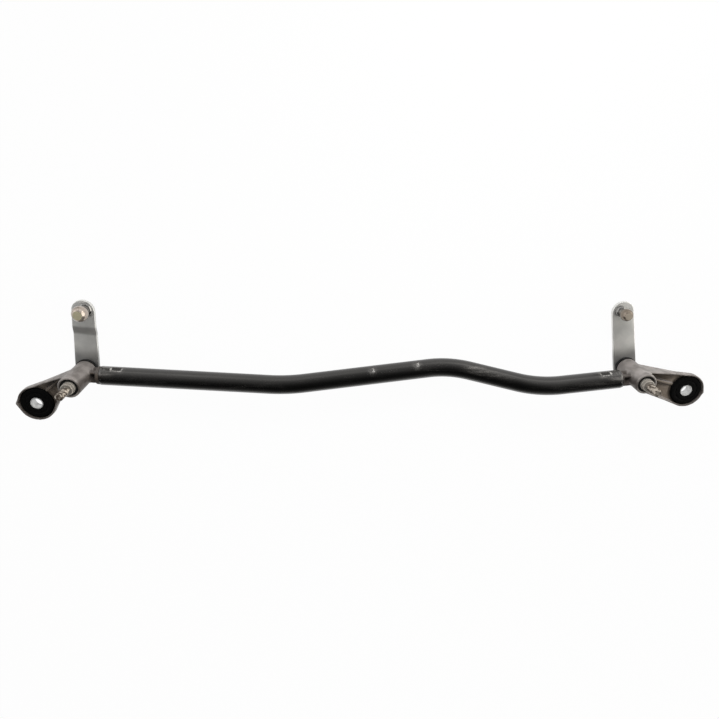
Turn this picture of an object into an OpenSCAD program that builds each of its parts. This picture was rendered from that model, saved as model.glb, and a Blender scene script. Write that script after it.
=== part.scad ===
// Wiper linkage frame: a bent tube that carries two wiper spindles in cast pivot housings.
// Origin: axis of the left spindle at its arm seat. +Z runs out along the spindles,
// +X runs to the right spindle and +Y is the side to which the cranks point.

/* [Pivots] */
// Distance between the two spindle axes
pivot_span = 592; // [540:1:660]
// Lean of the left crank at rest, from +Y towards the middle of the part, in degrees
left_crank_lean = 6; // [-20:0.5:30]
// Lean of the right crank at rest, from +Y towards the middle of the part, in degrees
right_crank_lean = 13; // [-20:0.5:30]

/* [Frame tube] */
// Outer diameter of the tube
tube_d = 20; // [18:0.5:22]
// Wall thickness of the tube
tube_wall = 1.5; // [1.2:0.1:2]
// Distance from each spindle axis to the end of the tube
tube_end_gap = 21; // [18:0.5:26]
// Height of the tube axis above the rear rim of the left barrel
tube_left_rise = 10.5; // [10.5:0.5:19]
// Height of the tube axis above the rear rim of the right barrel
tube_right_rise = 24.5; // [10.5:0.5:29]
// Angle by which the plane of the bends is turned down from +Y, in degrees
bend_plane_roll = 45; // [0:1:60]
// Distance of the first bend from the left spindle axis
bend1_at = 215; // [170:1:240]
// Distance of the first bend from the straight line between the spindles
bend1_offset = -11.4; // [-20:0.1:-2]
// Centre-line radius of the first bend
bend1_radius = 205; // [100:1:240]
// Distance of the second bend from the left spindle axis
bend2_at = 388; // [360:1:410]
// Distance of the second bend from the straight line between the spindles
bend2_offset = 11.8; // [2:0.1:20]
// Centre-line radius of the second bend
bend2_radius = 115; // [60:1:130]
// Distance of the third bend from the left spindle axis
bend3_at = 483; // [465:1:490]
// Distance of the third bend from the straight line between the spindles
bend3_offset = -12.7; // [-20:0.1:-2]
// Centre-line radius of the third bend
bend3_radius = 130; // [60:1:140]
// Thinning of the tube's wall in the bends, on each side
bend_thinning = 0.1; // [0.05:0.01:0.2]
// Distance of each crimp's middle from the end of the tube
crimp_inset = 17; // [10:0.5:18]
// Length of a crimp along the tube
crimp_len = 9.5; // [6:0.5:12]
// Width of a crimp around the tube
crimp_w = 4; // [3:0.5:8]
// Depth of a crimp
crimp_depth = 1.2; // [0.6:0.1:1.4]
// Angle of the crimps around the tube, from the normal of the bend plane, in degrees
crimp_roll = 28; // [-20:1:40]
// Distance of the first locating dent from the left spindle axis
dent1_at = 306; // [280:1:320]
// Distance of the second locating dent from the left spindle axis
dent2_at = 354; // [335:1:358]
// Length of a locating dent along the tube
dent_len = 2.5; // [1.5:0.5:5]
// Width of a locating dent around the tube
dent_w = 7; // [4:0.5:10]
// Depth of a locating dent
dent_depth = 0.8; // [0.3:0.1:1]
// Angle of the dents around the tube, from the normal of the bend plane, in degrees
dent_roll = 10; // [-20:1:30]

/* [Pivot housing] */
// Outer diameter of the barrel
barrel_d = 22.5; // [22:0.5:27]
// Length of the barrel
barrel_len = 44; // [42:1:56]
// Height of the arm seat above the front rim of the barrel
seat_rise = 5.5; // [3:0.5:9]
// Chamfer on the rims of the barrel
barrel_chamfer = 0.8; // [0.3:0.1:1]
// Diameter of the recess for the shaft seal
seal_recess_d = 18; // [17.5:0.5:19]
// Depth of the recess for the shaft seal
seal_recess_depth = 4.2; // [3.5:0.1:6]
// Length of the spigot inside the tube
spigot_len = 27; // [20:1:30]
// Thickness of the cross-shaped rib in the neck
neck_rib = 3.6; // [2.5:0.1:6]
// Diameter of the collar on which the tube's end stops
neck_collar_d = 19; // [17.5:0.5:19.5]
// Length of the collar between the left neck's pockets and the tube
left_neck_collar = 4; // [1:0.1:5]
// Length of the collar between the right neck's pockets and the tube
right_neck_collar = 1.5; // [1:0.1:5]

/* [Mounting ear] */
// Distance from the left spindle axis to its mounting hole
left_ear_reach = 48; // [46:0.5:60]
// Direction of the left mounting hole, from +X, in degrees
left_ear_angle = 209.5; // [190:0.5:225]
// Depth of the left ear's underside at the barrel, below the arm seat
left_ear_root = 31; // [29:0.5:40]
// Distance by which the left ear's root lies beside the spindle axis, on the cranks' side
left_ear_skew = 9; // [0:0.5:9]
// Distance from the right spindle axis to its mounting hole
right_ear_reach = 56; // [46:0.5:66]
// Direction of the right mounting hole, from +X, in degrees
right_ear_angle = -14.5; // [-40:0.5:0]
// Depth of the right ear's underside at the barrel, below the arm seat
right_ear_root = 36; // [29:0.5:42]
// Distance by which the right ear's root lies beside the spindle axis, on the cranks' side
right_ear_skew = 0; // [0:0.5:9]
// Outer radius of the ear around the mounting hole
ear_end_r = 18.9; // [18.5:0.1:24]
// Distance by which the left ear's nose stands out of its round end
left_nose_rise = 1.9; // [0.5:0.1:4]
// Direction of the left ear's nose from the mounting hole, from +X, in degrees
left_nose_angle = 180; // [170:1:220]
// Distance by which the right ear's nose stands out of its round end
right_nose_rise = 1; // [0.5:0.1:4]
// Direction of the right ear's nose from the mounting hole, from +X, in degrees
right_nose_angle = -5; // [-40:1:10]
// Radius of the tip of an ear's nose
nose_r = 2.6; // [2.5:0.1:5]
// Thickness of the ear's rim wall
ear_wall = 1.8; // [1.5:0.1:2]
// Thickness of the ear's floor
ear_floor = 3; // [2.5:0.1:4]
// Depth of the ear's rim at the barrel, below the arm seat
ear_rim_root = 13; // [11:0.5:15]
// Depth of the ear's rim around the mounting hole, below the arm seat
ear_rim_depth = 18; // [16:0.5:18]
// Depth of the ear's underside at the mounting hole, below the arm seat
ear_base_depth = 25; // [23:0.5:28]
// Thickness of the rib along the ear's floor
ear_rib = 2.4; // [1.5:0.1:4]
// Distance of the rib from the middle of the ear's floor, on the cranks' side
ear_rib_offset = 3; // [0:0.5:4]
// Height of the rib above the ear's floor at the mounting hole
ear_rib_rise = 2; // [1:0.1:3]

/* [Grommet and sleeve] */
// Inner diameter of the mount sleeve
sleeve_bore = 11; // [8:0.1:13]
// Wall thickness of the mount sleeve
sleeve_wall = 0.8; // [0.8:0.1:1.5]
// Height by which the sleeve stands out of the grommet at each end
sleeve_proud = 0.2; // [0.1:0.1:0.5]
// Diameter of the grommet's waist
grommet_waist_d = 25; // [22:0.5:28]
// Diameter of the grommet's rear flange
grommet_rear_d = 32; // [30:0.5:36]
// Thickness of each grommet flange
grommet_flange = 3; // [2:0.1:4]
// Chamfer on the grommet's flanges
grommet_chamfer = 1; // [0.3:0.1:1.5]

/* [Spindle] */
// Diameter of the spindle in its bushes
spindle_d = 13; // [12.9:0.1:13.4]
// Length of the knurled cone at the arm seat
cone_len = 4.5; // [3:0.1:5.4]
// Small diameter of the knurled cone
cone_tip_d = 12.2; // [11.4:0.1:12.8]
// Number of teeth around the knurled cone
knurl_teeth = 40; // [24:2:48]
// Depth of the grooves between the teeth
knurl_depth = 0.35; // [0.2:0.05:0.35]
// Width of the groove between the knurled cone and the thread
thread_groove_w = 2; // [1:0.1:3]
// Diameter of the groove between the knurled cone and the thread
thread_groove_d = 6.4; // [5:0.1:6.6]
// Diameter of the threaded end
thread_d = 8; // [7:0.5:10]
// Length of the threaded end
thread_len = 15; // [8:0.5:18]
// Chamfer on the threaded end
thread_chamfer = 1; // [0.5:0.1:1.5]
// Diameter of the spindle's tail in the crank
tail_d = 10; // [8:0.1:11]

/* [Crank] */
// Distance from the spindle axis to the ball stud
crank_len = 68; // [66:0.5:90]
// Distance of the ball stud from the crank's centre line, towards the middle of the part
stud_offset = 3; // [0:0.5:3]
// Thickness of the crank plate
crank_t = 4; // [3:0.1:6]
// Width of the crank at the ball stud
crank_w = 23; // [22:0.5:28]
// Radius of the crank's end at the spindle
crank_hub_r = 12.3; // [11.5:0.1:15]
// Distance by which the round end's centre lies short of the ball stud
crank_end_back = 2; // [0:0.5:5]
// Height of the joggle in the left crank
joggle_rise = 2; // [0.5:0.1:5]
// Distance from the spindle axis to the start of the joggle
joggle_at = 40; // [30:0.5:42]
// Length of the joggle along the crank
joggle_run = 9; // [6:0.5:11]

/* [Ball stud] */
// Diameter of the left ball
left_ball_d = 16; // [13:0.5:16]
// Diameter of the right ball
right_ball_d = 13; // [12:0.5:16]
// Height of a ball's centre above its crank
ball_rise = 14; // [13:0.5:24]
// Diameter of the flat on the left ball
left_flat_d = 9.2; // [6:0.1:11]
// Diameter of the flat on the right ball
right_flat_d = 8; // [5:0.1:10]
// Diameter of the left stud's collar
left_collar_d = 15; // [12:0.5:16]
// Diameter of the right stud's collar
right_collar_d = 12; // [11:0.5:16]
// Height of a stud's collar
collar_h = 4; // [2:0.5:6]
// Chamfer on a stud's collar
collar_chamfer = 0.8; // [0.3:0.1:0.9]
// Diameter of the neck under a ball
ball_neck_d = 8; // [6:0.5:9]
// Diameter of a stud's shank in its crank
shank_d = 9; // [6:0.5:10]

/* [Bearings and seals] */
// Wall thickness of the bushes
bush_wall = 1.5; // [1:0.1:1.6]
// Length of each bush
bush_len = 12; // [8:0.5:15]
// Outer diameter of the thrust washer
washer_d = 23.5; // [20:0.5:27]
// Thickness of the thrust washer
washer_t = 2.7; // [1.5:0.1:4]
// Height of the shaft seal
seal_h = 3.4; // [2:0.1:4]
// Thickness of the retaining ring
ring_t = 1; // [0.8:0.1:1.2]
// Radial depth of the retaining ring's groove in the spindle
ring_groove = 0.6; // [0.4:0.1:1]
// Width of the gap in the retaining ring
ring_gap = 3.5; // [2:0.5:5]

/* [Clearances] */
// Radial running clearance of the spindle in its bushes
run_clear = 0.04; // [0.02:0.01:0.09]
// Clearance around moving pieces that don't bear on each other
free_clear = 0.3; // [0.2:0.05:0.5]
// Radial clearance of pieces that are pressed or crimped together
press_clear = 0.02; // [0.01:0.01:0.05]

/* [Hidden] */
$fn = 64;
// Overlap that lets one cut run past the face that it opens
over = 1;
// Length by which a straight stretch of tube laps into a bend
bend_lap = 1;
// Distance by which one outline runs inside the one that it blends into
seam_inset = 0.05;

// Heights, all below the arm seats
barrel_top = -seat_rise;
barrel_base = barrel_top - barrel_len;
washer_base = barrel_base - washer_t;
crank_top = washer_base - free_clear;
crank_base = crank_top - crank_t;
seal_seat = barrel_top - seal_recess_depth;
ring_top = seal_seat - free_clear;
ring_base = ring_top - ring_t;
front_bush_top = ring_base - free_clear;

// Bores and the pieces in them
bush_d = spindle_d + 2 * (run_clear + bush_wall);
barrel_bore_d = bush_d + 2 * press_clear;
ring_groove_d = spindle_d - 2 * ring_groove;
tube_bore_d = tube_d - 2 * tube_wall;
spigot_d = tube_bore_d - 2 * press_clear;

// Grommet and sleeve, measured down from the arm seats
grommet_top = -ear_base_depth + ear_floor + grommet_flange;
grommet_base = -ear_base_depth - grommet_flange;
grommet_front_d = 2 * (ear_end_r - ear_wall - free_clear);
sleeve_d = sleeve_bore + 2 * sleeve_wall;

// Centre line of the tube in the plane of its bends, from spindle axis to spindle axis
tube_left_depth = -barrel_base - tube_left_rise;
tube_rise = tube_right_rise - tube_left_rise;
tube_slope = atan2(tube_rise, pivot_span);
base_len = norm([pivot_span, tube_rise]);
route = [
    [0, 0],
    [bend1_at, bend1_offset],
    [bend2_at, bend2_offset],
    [bend3_at, bend3_offset],
    [base_len, 0]
];
bend_radii = [0, bend1_radius, bend2_radius, bend3_radius, 0];
last_leg = len(route) - 2;
function leg_angle(i) = atan2(route[i + 1].y - route[i].y, route[i + 1].x - route[i].x);
function leg_len(i) = norm(route[i + 1] - route[i]);
function turn(i) = leg_angle(i) - leg_angle(i - 1);
function setback(i) = i == 0 || i > last_leg ? tube_end_gap : bend_radii[i] * tan(abs(turn(i)) / 2);
function along(i, d) = route[i] + d * [cos(leg_angle(i)), sin(leg_angle(i))];

// Puts children into the plane of the tube's bends, with x along the line between the spindles
module in_bend_plane() {
    translate([0, 0, -tube_left_depth])
        rotate([0, -tube_slope, 0])
            rotate([-bend_plane_roll, 0, 0])
                children();
}

// Puts children at a spindle axis with x running down the tube from that end
module at_tube_end(right) {
    in_bend_plane() {
        if (right)
            translate([base_len, 0, 0])
                rotate([0, 0, leg_angle(last_leg)])
                    mirror([1, 0, 0])
                        children();
        else
            rotate([0, 0, leg_angle(0)])
                children();
    }
}

// Puts children at the left or the right spindle axis
module at_pivot(right) {
    translate([right ? pivot_span : 0, 0, 0])
        children();
}

// Cylinder with a chamfer on both rims, standing on z = 0
module chamfered_cylinder(d, h, c) {
    rotate_extrude()
        polygon([[0, 0], [d / 2 - c, 0], [d / 2, c], [d / 2, h - c], [d / 2 - c, h], [0, h]]);
}

// Flat ring standing on z = 0
module ring(outer_d, inner_d, h) {
    difference() {
        cylinder(d = outer_d, h = h);
        translate([0, 0, -over])
            cylinder(d = inner_d, h = h + 2 * over);
    }
}

// Outline of a strap along +X that wraps a circle of radius r1 at the origin and one of r2 at the reach
module strap(r1, r2, reach) {
    lean = acos((r1 - r2) / reach);
    in1 = r1 - seam_inset;
    in2 = r2 - seam_inset;
    circle(r1);
    translate([reach, 0])
        circle(r2);
    polygon([
        in1 * [cos(lean), sin(lean)],
        in1 * [cos(lean), -sin(lean)],
        [reach, 0] + in2 * [cos(lean), -sin(lean)],
        [reach, 0] + in2 * [cos(lean), sin(lean)]
    ]);
}

// Side view, drawn in x and z, carried across a width that is centred on y = 0
module side_view(points, width) {
    translate([0, width / 2, 0])
        rotate([90, 0, 0])
            linear_extrude(height = width)
                polygon(points);
}

// Straight stretch of tube, which laps a little way into the bend at each end
module tube_leg(i) {
    lap_in = i == 0 ? 0 : bend_lap;
    lap_out = i == last_leg ? 0 : bend_lap;
    run = leg_len(i) - setback(i) - setback(i + 1) + lap_in + lap_out;
    translate(along(i, setback(i) - lap_in))
        rotate([0, 0, leg_angle(i)])
            rotate([0, 90, 0])
                ring(tube_d, tube_bore_d, run);
}

// Bend of the tube at one corner of its centre line, with its wall thinned on both sides
module tube_bend(i) {
    side = sign(turn(i));
    start = leg_angle(i) - 90 * side - (side > 0 ? turn(i) : 0);
    corner = along(i, setback(i));
    centre = corner + side * bend_radii[i] * [-sin(leg_angle(i)), cos(leg_angle(i))];
    translate(centre)
        rotate([0, 0, start])
            difference() {
                bend_bar(i, tube_d - 2 * bend_thinning);
                bend_bar(i, tube_bore_d + 2 * bend_thinning);
            }
}

// Round bar along one bend, about the centre of the bend
module bend_bar(i, d) {
    rotate_extrude(angle = abs(turn(i)))
        translate([bend_radii[i], 0])
            circle(d = d);
}

// Block at a crimp on one side of the tube, its top at the given distance from the tube's axis
module crimp_block(turned, grow, bottom, top) {
    rotate([turned, 0, 0])
        translate([tube_end_gap + crimp_inset - crimp_len / 2 - grow, -crimp_w / 2 - grow, bottom])
            cube([crimp_len + 2 * grow, crimp_w + 2 * grow, top - bottom]);
}

module frame_tube() {
    tab_base = tube_bore_d / 2 - crimp_depth;
    dent_floor = tube_d / 2 - dent_depth;
    color("#2c2c2d")
        difference() {
            union() {
                in_bend_plane() {
                    for (i = [0:last_leg])
                        tube_leg(i);
                    for (i = [1:last_leg])
                        tube_bend(i);
                }
                for (right = [false, true], half = [0, 180])
                    at_tube_end(right)
                        crimp_block(half - crimp_roll, 0, tab_base, tube_d / 2 - crimp_depth);
            }
            for (right = [false, true], half = [0, 180])
                at_tube_end(right)
                    crimp_block(half - crimp_roll, 0, tube_d / 2 - crimp_depth, tube_d / 2 + over);
            in_bend_plane()
                for (at = [dent1_at, dent2_at])
                    translate(along(1, at - bend1_at))
                        rotate([0, 0, leg_angle(1)])
                            rotate([-dent_roll, 0, 0])
                                translate([-dent_len / 2, -dent_w / 2, dent_floor])
                                    cube([dent_len, dent_w, dent_depth + over]);
        }
}

// Neck and spigot that carry the tube, with x running down the tube
module spigot(right) {
    neck_collar = right ? right_neck_collar : left_neck_collar;
    pocket_len = tube_end_gap - neck_collar;
    difference() {
        union() {
            rotate([0, 90, 0])
                chamfered_cylinder(spigot_d, tube_end_gap + spigot_len, barrel_chamfer);
            translate([pocket_len, 0, 0])
                rotate([0, 90, 0])
                    cylinder(d = neck_collar_d, h = neck_collar - press_clear);
        }
        for (quarter = [0:3])
            rotate([90 * quarter, 0, 0])
                translate([-over, neck_rib / 2, neck_rib / 2])
                    cube([pocket_len + over, spigot_d, spigot_d]);
        for (half = [0, 180])
            crimp_block(half - crimp_roll, press_clear, spigot_d / 2 - crimp_depth - press_clear, spigot_d);
    }
}

// Puts children at the ear's root beside the spindle axis, with +X running to the mounting hole
module at_ear_root(reach, skew) {
    translate([0, skew, 0])
        rotate([0, 0, atan2(-skew, reach)])
            children();
}

// Plan view of the ear along +X, drawn in by an inset, from its root to a nosed end
module ear_plan(reach, skew, nose_rise, nose_turn, inset) {
    at_ear_root(reach, skew)
        strap(barrel_d / 2 - abs(skew) - inset - seam_inset, ear_end_r - inset, norm([reach, skew]));
    translate([reach, 0])
        rotate(nose_turn)
            strap(ear_end_r - inset - seam_inset, nose_r - inset, ear_end_r + nose_rise - nose_r);
}

// Block with the ear's plan view, drawn in by an inset, from the arm seats down to the ear's root
module ear_block(reach, root, skew, nose_rise, nose_turn, inset) {
    translate([0, 0, -root])
        linear_extrude(height = root)
            ear_plan(reach, skew, nose_rise, nose_turn, inset);
}

// Tray-shaped mounting ear along +X, open towards +Z, with a hole for the grommet
module ear(right, reach, root, skew, nose_rise, nose_turn) {
    barrel_r = barrel_d / 2;
    flat_from = reach - ear_end_r;
    far = reach + ear_end_r + nose_rise + over;
    width = 2 * (ear_end_r + nose_rise + over);
    floor_depth = ear_base_depth - ear_floor;
    rib_y = right ? ear_rib_offset : -ear_rib_offset;
    rib_end = norm([reach, skew]) - grommet_front_d / 2 - free_clear;
    difference() {
        intersection() {
            ear_block(reach, root, skew, nose_rise, nose_turn, 0);
            side_view([
                [-barrel_r, -ear_rim_root], [0, -ear_rim_root], [flat_from, -ear_rim_depth],
                [far, -ear_rim_depth], [far, -ear_base_depth], [flat_from, -ear_base_depth],
                [0, -root], [-barrel_r, -root]
            ], width);
        }
        intersection() {
            ear_block(reach, root, skew, nose_rise, nose_turn, ear_wall);
            side_view([
                [-barrel_r, 0], [far, 0], [far, -floor_depth],
                [flat_from, -floor_depth], [0, ear_floor - root], [-barrel_r, ear_floor - root]
            ], width);
        }
        translate([reach, 0, -root])
            cylinder(d = grommet_waist_d + 2 * press_clear, h = root);
    }
    intersection() {
        ear_block(reach, root, skew, nose_rise, nose_turn, ear_wall / 2);
        at_ear_root(reach, skew)
            translate([0, rib_y, 0])
                side_view([
                    [0, ear_floor / 2 - root], [flat_from, ear_floor / 2 - ear_base_depth],
                    [rib_end, ear_floor / 2 - ear_base_depth], [rib_end, ear_rib_rise - floor_depth],
                    [0, ear_rib_rise - floor_depth]
                ], ear_rib);
    }
}

module pivot_housing(right) {
    reach = right ? right_ear_reach : left_ear_reach;
    heading = right ? right_ear_angle : left_ear_angle;
    root = right ? right_ear_root : left_ear_root;
    skew = right ? right_ear_skew : -left_ear_skew;
    nose_rise = right ? right_nose_rise : left_nose_rise;
    nose_turn = (right ? right_nose_angle : left_nose_angle) - heading;
    color("#8f8985")
        difference() {
            union() {
                at_tube_end(right)
                    spigot(right);
                at_pivot(right) {
                    translate([0, 0, barrel_base])
                        chamfered_cylinder(barrel_d, barrel_len, barrel_chamfer);
                    rotate([0, 0, heading])
                        ear(right, reach, root, skew, nose_rise, nose_turn);
                }
            }
            at_pivot(right) {
                translate([0, 0, barrel_base - over])
                    cylinder(d = barrel_bore_d, h = barrel_len + 2 * over);
                translate([0, 0, seal_seat])
                    cylinder(d = seal_recess_d, h = seal_recess_depth + over);
            }
        }
}

// Puts children at the left or the right mounting hole
module at_mount(right) {
    at_pivot(right)
        rotate([0, 0, right ? right_ear_angle : left_ear_angle])
            translate([right ? right_ear_reach : left_ear_reach, 0, 0])
                children();
}

module grommet(right) {
    height = grommet_top - grommet_base;
    color("#151515")
        at_mount(right)
            difference() {
                union() {
                    translate([0, 0, grommet_base])
                        chamfered_cylinder(grommet_rear_d, grommet_flange, grommet_chamfer);
                    translate([0, 0, grommet_base])
                        cylinder(d = grommet_waist_d, h = height);
                    translate([0, 0, grommet_top - grommet_flange])
                        chamfered_cylinder(grommet_front_d, grommet_flange, grommet_chamfer);
                }
                translate([0, 0, grommet_base - over])
                    cylinder(d = sleeve_d + 2 * press_clear, h = height + 2 * over);
            }
}

module mount_sleeve(right) {
    color("#c8c8c6")
        at_mount(right)
            translate([0, 0, grommet_base - sleeve_proud])
                ring(sleeve_d, sleeve_bore, grommet_top - grommet_base + 2 * sleeve_proud);
}

module bush(right, base) {
    color("#8a6f4a")
        at_pivot(right)
            translate([0, 0, base])
                ring(bush_d, spindle_d + 2 * run_clear, bush_len);
}

module thrust_washer(right) {
    color("#1b1b1b")
        at_pivot(right)
            translate([0, 0, washer_base])
                ring(washer_d, spindle_d + 2 * free_clear, washer_t);
}

module shaft_seal(right) {
    color("#101010")
        at_pivot(right)
            translate([0, 0, seal_seat])
                ring(seal_recess_d - 2 * press_clear, spindle_d + 2 * free_clear, seal_h);
}

// Square bar that cuts the groove between two teeth, its lower edge on the groove's floor
module knurl_bar() {
    bar_w = 4 * knurl_depth;
    cone_lean = atan2((spindle_d - cone_tip_d) / 2, cone_len);
    translate([cone_tip_d / 2 - knurl_depth, 0, 0])
        rotate([0, -cone_lean, 0])
            translate([0, 0, -cone_len])
                rotate([0, 0, -45])
                    cube([bar_w, bar_w, cone_len + over]);
}

module spindle(right) {
    color("#b5a993")
        at_pivot(right)
            difference() {
                turned_spindle();
                for (tooth = [0:knurl_teeth - 1])
                    rotate([0, 0, tooth * 360 / knurl_teeth])
                        knurl_bar();
            }
}

// Spindle as it comes off the lathe, from its tail in the crank to its threaded tip
module turned_spindle() {
    thread_tip = thread_groove_w + thread_len;
    rotate_extrude()
        polygon([
            [0, crank_base],
            [tail_d / 2, crank_base],
            [tail_d / 2, crank_top],
            [spindle_d / 2, crank_top],
            [spindle_d / 2, ring_base],
            [ring_groove_d / 2, ring_base],
            [ring_groove_d / 2, ring_top],
            [spindle_d / 2, ring_top],
            [spindle_d / 2, -cone_len],
            [cone_tip_d / 2, 0],
            [thread_groove_d / 2, 0],
            [thread_groove_d / 2, thread_groove_w],
            [thread_d / 2, thread_groove_w],
            [thread_d / 2, thread_tip - thread_chamfer],
            [thread_d / 2 - thread_chamfer, thread_tip],
            [0, thread_tip]
        ]);
}

module retaining_ring(right) {
    ring_d = barrel_bore_d - 2 * free_clear;
    color("#77746f")
        at_pivot(right)
            translate([0, 0, ring_base])
                difference() {
                    ring(ring_d, ring_groove_d + 2 * press_clear, ring_t);
                    translate([0, -ring_gap / 2, -over])
                        cube([ring_d, ring_gap, ring_t + 2 * over]);
                }
}

// Puts children at a spindle axis with +X running out along the crank
module along_crank(right) {
    lean = right ? right_crank_lean : -left_crank_lean;
    at_pivot(right)
        rotate([0, 0, 90 + lean])
            children();
}

// Puts children at a ball stud's axis, with the crank's own directions
module at_stud(right) {
    along_crank(right)
        translate([crank_len, right ? stud_offset : -stud_offset, 0])
            children();
}

module crank(right) {
    end_r = crank_w / 2;
    rise = right ? 0 : joggle_rise;
    end_at = crank_len - crank_end_back;
    far = end_at + end_r + over;
    joggle_end = joggle_at + joggle_run;
    color("#b6b6b2")
        difference() {
            along_crank(right)
                intersection() {
                    translate([0, 0, crank_base])
                        linear_extrude(height = crank_t + rise)
                            strap(crank_hub_r, end_r, end_at);
                    side_view([
                        [-crank_hub_r - over, crank_base], [joggle_at, crank_base],
                        [joggle_end, crank_base + rise], [far, crank_base + rise],
                        [far, crank_top + rise], [joggle_end, crank_top + rise],
                        [joggle_at, crank_top], [-crank_hub_r - over, crank_top]
                    ], 2 * (crank_hub_r + end_r));
                }
            at_pivot(right)
                translate([0, 0, crank_base - over])
                    cylinder(d = tail_d + 2 * press_clear, h = crank_t + 2 * over);
            at_stud(right)
                translate([0, 0, crank_base + rise - over])
                    cylinder(d = shank_d + 2 * press_clear, h = crank_t + 2 * over);
        }
}

module ball_stud(right) {
    plate = crank_top + (right ? 0 : joggle_rise);
    ball_d = right ? right_ball_d : left_ball_d;
    flat_d = right ? right_flat_d : left_flat_d;
    flat_rise = sqrt(pow(ball_d / 2, 2) - pow(flat_d / 2, 2));
    color("#a8997a")
        at_stud(right)
            translate([0, 0, plate]) {
                translate([0, 0, -crank_t])
                    cylinder(d = shank_d, h = crank_t);
                chamfered_cylinder(right ? right_collar_d : left_collar_d, collar_h, collar_chamfer);
                cylinder(d = ball_neck_d, h = ball_rise);
                translate([0, 0, ball_rise])
                    intersection() {
                        sphere(d = ball_d);
                        translate([0, 0, -ball_d])
                            cylinder(d = 2 * ball_d, h = ball_d + flat_rise);
                    }
            }
}

frame_tube();
pivot_housing(false);  // left_pivot_housing
pivot_housing(true);  // right_pivot_housing
grommet(false);  // left_grommet
grommet(true);  // right_grommet
mount_sleeve(false);  // left_mount_sleeve
mount_sleeve(true);  // right_mount_sleeve
bush(false, front_bush_top - bush_len);  // left_front_bush
bush(true, front_bush_top - bush_len);  // right_front_bush
bush(false, barrel_base);  // left_rear_bush
bush(true, barrel_base);  // right_rear_bush
thrust_washer(false);  // left_thrust_washer
thrust_washer(true);  // right_thrust_washer
shaft_seal(false);  // left_shaft_seal
shaft_seal(true);  // right_shaft_seal
spindle(false);  // left_spindle
spindle(true);  // right_spindle
retaining_ring(false);  // left_retaining_ring
retaining_ring(true);  // right_retaining_ring
crank(false);  // left_crank
crank(true);  // right_crank
ball_stud(false);  // left_ball_stud
ball_stud(true);  // right_ball_stud
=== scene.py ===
import bmesh
import bpy
import numpy as np
from mathutils import Matrix, Vector


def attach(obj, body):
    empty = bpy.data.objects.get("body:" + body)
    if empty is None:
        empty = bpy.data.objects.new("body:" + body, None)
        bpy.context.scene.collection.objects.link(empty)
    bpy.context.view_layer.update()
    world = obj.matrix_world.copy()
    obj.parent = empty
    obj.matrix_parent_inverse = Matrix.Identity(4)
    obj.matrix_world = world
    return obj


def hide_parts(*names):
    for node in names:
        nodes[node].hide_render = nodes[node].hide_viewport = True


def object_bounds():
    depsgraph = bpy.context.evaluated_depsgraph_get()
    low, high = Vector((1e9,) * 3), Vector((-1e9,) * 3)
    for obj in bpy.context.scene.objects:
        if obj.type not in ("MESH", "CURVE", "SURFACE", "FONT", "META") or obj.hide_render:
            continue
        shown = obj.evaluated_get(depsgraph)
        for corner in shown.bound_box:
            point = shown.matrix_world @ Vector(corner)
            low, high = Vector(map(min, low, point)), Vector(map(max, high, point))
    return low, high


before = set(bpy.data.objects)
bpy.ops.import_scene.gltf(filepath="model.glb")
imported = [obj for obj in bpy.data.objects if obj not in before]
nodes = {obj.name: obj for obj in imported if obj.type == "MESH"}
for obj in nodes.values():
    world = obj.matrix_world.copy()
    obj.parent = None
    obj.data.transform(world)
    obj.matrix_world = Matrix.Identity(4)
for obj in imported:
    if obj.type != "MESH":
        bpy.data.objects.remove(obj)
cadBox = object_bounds()
mm = 0.001
print("frame:", len(nodes), "nodes")


class Wire:
    # one socket of a node tree; sums and products of wires add their Math nodes
    def __init__(self, tree, socket=None):
        self.tree = tree
        self.socket = socket

    # any node: its type, its settings, the values or links of its sockets, and the output to go on from
    def node(self, kind, settings=None, inputs=None, output=0):
        made = self.tree.nodes.new(kind)
        for key, value in (settings or {}).items():
            if key == "stops":
                marks = made.color_ramp.elements
                while len(marks) < len(value):
                    marks.new(1.0)
                for mark, (position, shade) in zip(marks, value):
                    mark.position = position
                    mark.color = (*shade, 1.0)
            else:
                setattr(made, key, value)
        self.feed(made, inputs or {})
        return Wire(self.tree, made.outputs[output])

    def feed(self, made, inputs):
        for key, value in inputs.items():
            if isinstance(value, Wire):
                self.tree.links.new(value.socket, made.inputs[key])
            else:
                made.inputs[key].default_value = value

    def maths(self, operation, *values):
        return self.node("ShaderNodeMath", {"operation": operation}, dict(enumerate(values)))

    def __add__(self, other):
        return self.maths("ADD", self, other)

    def __sub__(self, other):
        return self.maths("SUBTRACT", self, other)

    def __rsub__(self, other):
        return self.maths("SUBTRACT", other, self)

    def __mul__(self, other):
        return self.maths("MULTIPLY", self, other)

    __radd__ = __add__
    __rmul__ = __mul__

    # smooth step from 0 at low to 1 at high; low above high turns it round
    def step(self, low, high):
        flip = low > high
        rise = self.node(
            "ShaderNodeMapRange", {"interpolation_type": "SMOOTHSTEP"},
            {"Value": self, "From Min": min(low, high), "From Max": max(low, high)},
        )
        return 1 - rise if flip else rise


def rgba(shade):
    return (*shade, 1.0)


def mixColour(mask, first, second):
    ends = [value if isinstance(value, Wire) else rgba(value) for value in (first, second)]
    return mask.node("ShaderNodeMix", {"data_type": "RGBA"}, {0: mask, 6: ends[0], 7: ends[1]}, 2)


def newFinish(name):
    finish = bpy.data.materials.new(name)
    finish.use_nodes = True
    return finish, Wire(finish.node_tree)


def noise(wire, scale, detail=3.0, stretch=None):
    place = wire.node("ShaderNodeTexCoord", output="Object")
    if stretch:
        place = wire.node("ShaderNodeMapping", None, {"Vector": place, "Scale": stretch})
    return wire.node("ShaderNodeTexNoise", None, {"Vector": place, "Scale": scale, "Detail": detail})


# a piece's own attribute, one value at each vertex
def mark(wire, name):
    return wire.node("ShaderNodeAttribute", {"attribute_name": name}, output="Fac")


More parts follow.
